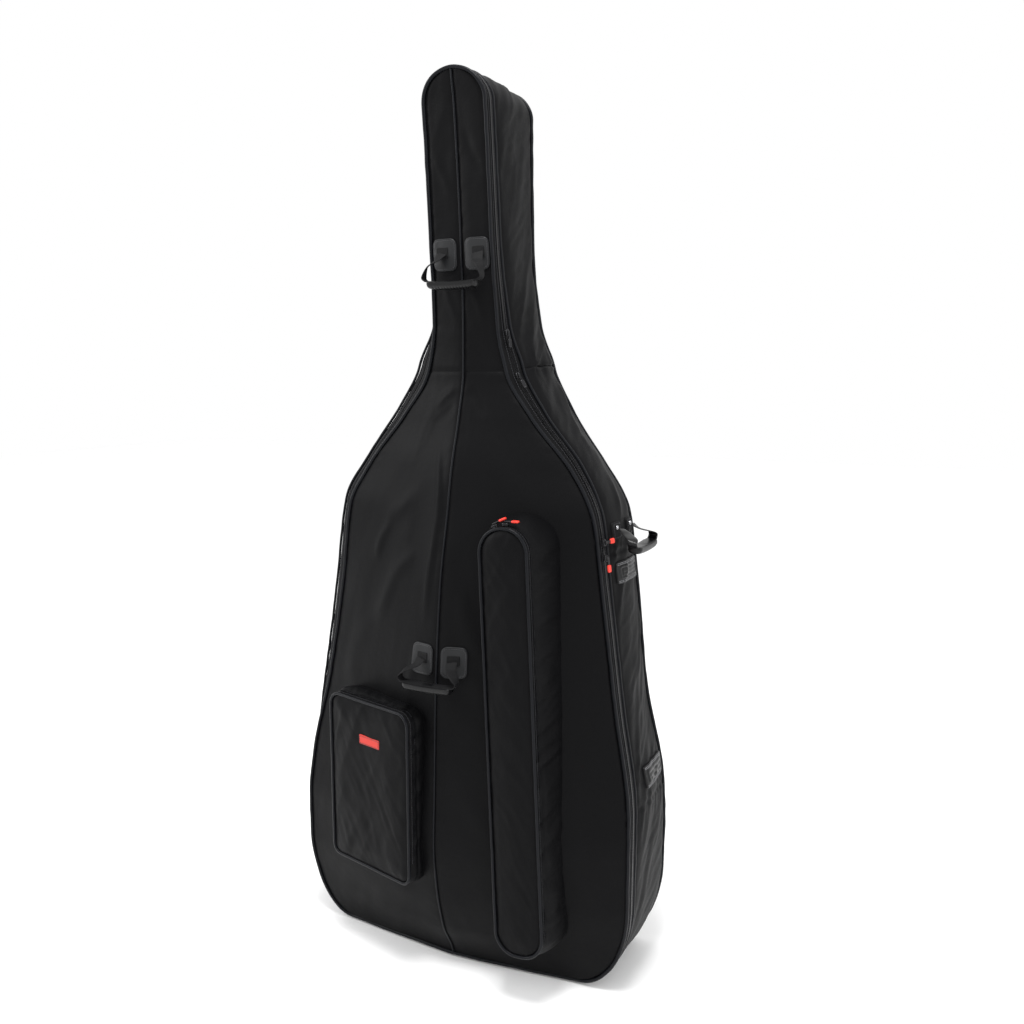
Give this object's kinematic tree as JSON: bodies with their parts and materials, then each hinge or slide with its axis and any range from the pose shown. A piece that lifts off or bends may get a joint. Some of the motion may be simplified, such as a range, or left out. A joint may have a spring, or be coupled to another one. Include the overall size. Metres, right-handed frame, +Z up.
{
  "type": "double bass gig bag",
  "caption": "Padded soft case for a double bass, standing upright, with a zipped front lid that opens on a side hinge, a bow pocket, an accessory pocket and carry handles.",
  "frame": {"origin": "on the flat guard under the base, below the middle of the bag", "axes": "+X to the right seen from the front, +Y from the front lid to the back, +Z up along the neck"},
  "size_m": [0.8215, 0.3705, 1.9049],
  "materials": {
    "nylon": "black padded nylon, plain weave, soft sheen",
    "piping": "satin edge piping",
    "zip_tape": "zip tape with coil teeth",
    "foam": "closed-cell foam padding with lining cloth",
    "vinyl": "grey vinyl, stitched round its edge",
    "webbing": "black webbing",
    "rubber": "moulded black rubber",
    "metal": "black-plated metal",
    "red_tab": "soft red plastic",
    "label": "woven label, plain"
  },
  "bodies": {
    "shell": {"back_panel": "nylon", "back_foam": "foam", "base_panel": "nylon", "side_left": "nylon", "side_right": "nylon", "neck_side_left": "nylon", "neck_side_right": "nylon", "rear_piping": "piping", "zip_piping": "piping", "shell_zip_tape": "zip_tape", "hinge_strip": "nylon", "base_guard": "rubber", "endpin_patch": "rubber", "neck_strap": "webbing", "side_pad_upper": "rubber", "side_pad_lower": "rubber", "side_handle_tab_front": "webbing", "side_handle_tab_rear": "webbing"},
    "lid": {"lid_body_left": "nylon", "lid_body_right": "nylon", "lid_neck_left": "nylon", "lid_neck_right": "nylon", "lid_foam": "foam", "centre_piping": "piping", "front_piping": "piping", "lid_zip_tape": "zip_tape", "bridge_pad": "foam", "bow_pocket_wall": "nylon", "accessory_pocket_wall": "nylon", "neck_patch_left": "vinyl", "neck_patch_right": "vinyl", "belly_patch_left": "vinyl", "belly_patch_right": "vinyl"},
    "bow_flap": {"bow_pocket_front": "nylon", "bow_pocket_piping": "piping"},
    "accessory_flap": {"accessory_pocket_front": "nylon", "accessory_pocket_piping": "piping", "accessory_label": "label"},
    "neck_handle": {"neck_handle_strap": "webbing", "neck_handle_grip": "rubber"},
    "belly_handle": {"belly_handle_strap": "webbing", "belly_handle_grip": "rubber"},
    "side_handle": {"side_handle_strap": "webbing", "side_handle_grip": "rubber"},
    "zip_a_slider": {"zip_a_slider": "metal"},
    "zip_a_pull": {"zip_a_pull": "metal"},
    "zip_b_slider": {"zip_b_slider": "metal"},
    "zip_b_pull": {"zip_b_pull": "metal"},
    "zip_c_slider": {"zip_c_slider": "metal"},
    "zip_c_pull": {"zip_c_pull": "red_tab"},
    "zip_d_slider": {"zip_d_slider": "metal"},
    "zip_d_pull": {"zip_d_pull": "red_tab"},
    "bow_zip_a_slider": {"bow_zip_a_slider": "metal"},
    "bow_zip_a_pull": {"bow_zip_a_pull": "red_tab"},
    "bow_zip_b_slider": {"bow_zip_b_slider": "metal"},
    "bow_zip_b_pull": {"bow_zip_b_pull": "red_tab"},
    "accessory_zip_a_slider": {"accessory_zip_a_slider": "metal"},
    "accessory_zip_a_pull": {"accessory_zip_a_pull": "red_tab"},
    "accessory_zip_b_slider": {"accessory_zip_b_slider": "metal"},
    "accessory_zip_b_pull": {"accessory_zip_b_pull": "red_tab"}
  },
  "joints": [
    {"name": "lid_hinge", "type": "hinge", "parent": "shell", "child": "lid", "pos_m": [-0.403, -0.116, 0.3], "axis": [0, 0, -1], "range_deg": [0, 110]},
    {"name": "bow_flap_hinge", "type": "hinge", "parent": "lid", "child": "bow_flap", "pos_m": [0.12818, -0.22325, 0.55775], "axis": [0.0576, -0.0265, -0.998], "range_deg": [0, 100]},
    {"name": "accessory_flap_hinge", "type": "hinge", "parent": "lid", "child": "accessory_flap", "pos_m": [-0.16186, -0.21675, 0.208], "axis": [0.9659, -0.2588, 0], "range_deg": [0, 100]},
    {"name": "neck_handle_swing", "type": "hinge", "parent": "lid", "child": "neck_handle", "pos_m": [0, -0.0902, 1.54], "axis": [-1, 0, 0], "range_deg": [0, 110]},
    {"name": "belly_handle_swing", "type": "hinge", "parent": "lid", "child": "belly_handle", "pos_m": [0, -0.2038, 0.7], "axis": [-1, 0, 0], "range_deg": [0, 110]},
    {"name": "side_handle_swing", "type": "hinge", "parent": "shell", "child": "side_handle", "pos_m": [0.33292, 0.034, 0.97267], "axis": [0, -1, 0], "range_deg": [0, 110]},
    {"name": "zip_a_run", "type": "slide", "parent": "shell", "child": "zip_a_slider", "axis": [-0.0801, -0.0931, 0.9924], "range_m": [0, 0.095]},
    {"name": "zip_a_pull_swing", "type": "hinge", "parent": "zip_a_slider", "child": "zip_a_pull", "pos_m": [0.09453, -0.05057, 1.38212], "axis": [-0.3476, -0.9305, -0.1153], "range_deg": [0, 140]},
    {"name": "zip_b_run", "type": "slide", "parent": "shell", "child": "zip_b_slider", "axis": [-0.5145, 0.0432, 0.8564], "range_m": [-0.055, 0]},
    {"name": "zip_b_pull_swing", "type": "hinge", "parent": "zip_b_slider", "child": "zip_b_pull", "pos_m": [0.11623, -0.04859, 1.29503], "axis": [-0.5129, -0.8159, -0.267], "range_deg": [0, 140]},
    {"name": "zip_c_run", "type": "slide", "parent": "shell", "child": "zip_c_slider", "axis": [-0.1543, 0, 0.988], "range_m": [0, 0.03]},
    {"name": "zip_c_pull_swing", "type": "hinge", "parent": "zip_c_slider", "child": "zip_c_pull", "pos_m": [0.32009, -0.05925, 0.95415], "axis": [0.1543, 0, -0.988], "range_deg": [0, 140]},
    {"name": "zip_d_run", "type": "slide", "parent": "shell", "child": "zip_d_slider", "axis": [-0.1261, 0.0057, 0.992], "range_m": [-0.11, 0]},
    {"name": "zip_d_pull_swing", "type": "hinge", "parent": "zip_d_slider", "child": "zip_d_pull", "pos_m": [0.32408, -0.05736, 0.92377], "axis": [-0.1733, -0.9847, -0.0164], "range_deg": [0, 140]},
    {"name": "bow_zip_a_run", "type": "hinge", "parent": "lid", "child": "bow_zip_a_slider", "pos_m": [0.16198, -0.20338, 0.94395], "axis": [0, -0.9996, 0.0266], "range_deg": [0, 55]},
    {"name": "bow_zip_a_pull_swing", "type": "hinge", "parent": "bow_zip_a_slider", "child": "bow_zip_a_pull", "pos_m": [0.13304, -0.20186, 1.00093], "axis": [0, -0.9996, 0.0266], "range_deg": [0, 140]},
    {"name": "bow_zip_b_run", "type": "hinge", "parent": "lid", "child": "bow_zip_b_slider", "pos_m": [0.16198, -0.20338, 0.94395], "axis": [0, -0.9996, 0.0266], "range_deg": [-70, 0]},
    {"name": "bow_zip_b_pull_swing", "type": "hinge", "parent": "bow_zip_b_slider", "child": "bow_zip_b_pull", "pos_m": [0.15873, -0.20168, 1.00777], "axis": [0, -0.9996, 0.0266], "range_deg": [0, 35]},
    {"name": "accessory_zip_a_run", "type": "slide", "parent": "lid", "child": "accessory_zip_a_slider", "axis": [0, 0, -1], "range_m": [-0.12, 0]},
    {"name": "accessory_zip_a_pull_swing", "type": "hinge", "parent": "accessory_zip_a_slider", "child": "accessory_zip_a_pull", "pos_m": [-0.28895, -0.17369, 0.42756], "axis": [0.2241, 0.8365, 0.5], "range_deg": [0, 140]},
    {"name": "accessory_zip_b_run", "type": "slide", "parent": "lid", "child": "accessory_zip_b_slider", "axis": [0, 0, -1], "range_m": [0, 0.12]},
    {"name": "accessory_zip_b_pull_swing", "type": "hinge", "parent": "accessory_zip_b_slider", "child": "accessory_zip_b_pull", "pos_m": [-0.28871, -0.17282, 0.4038], "axis": [0.2588, 0.9659, 0], "range_deg": [0, 140]}
  ]
}
